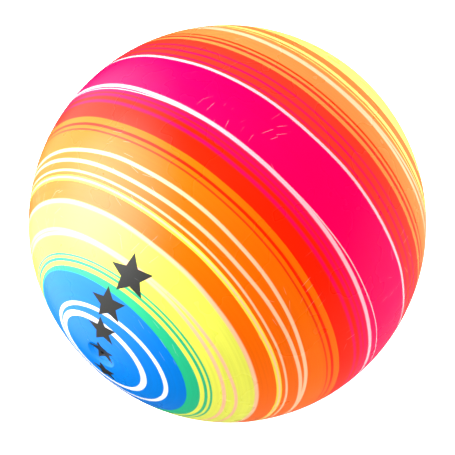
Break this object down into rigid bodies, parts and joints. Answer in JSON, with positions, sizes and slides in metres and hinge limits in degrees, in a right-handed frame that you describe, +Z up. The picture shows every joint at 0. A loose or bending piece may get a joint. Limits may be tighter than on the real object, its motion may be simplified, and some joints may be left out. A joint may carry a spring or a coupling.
{
  "type": "inflatable juggling ball",
  "caption": "Large inflatable vinyl ball with rainbow bands and a self-sealing needle valve, for juggling, ball spinning and play.",
  "frame": {"origin": "centre of the ball", "axes": "-Y out of the valve, along the axis that the bands run round; +Z up, with the ball lying on its side as it rolls"},
  "size_m": [0.216, 0.2136, 0.216],
  "materials": {
    "painted_vinyl": "gloss, spin-painted in rainbow bands",
    "valve_rubber": "satin, painted over with the ball's blue",
    "core_rubber": "matte"
  },
  "bodies": {
    "root": {"shell": "painted_vinyl", "valve_body": "valve_rubber", "valve_core": "core_rubber"}
  },
  "joints": []
}
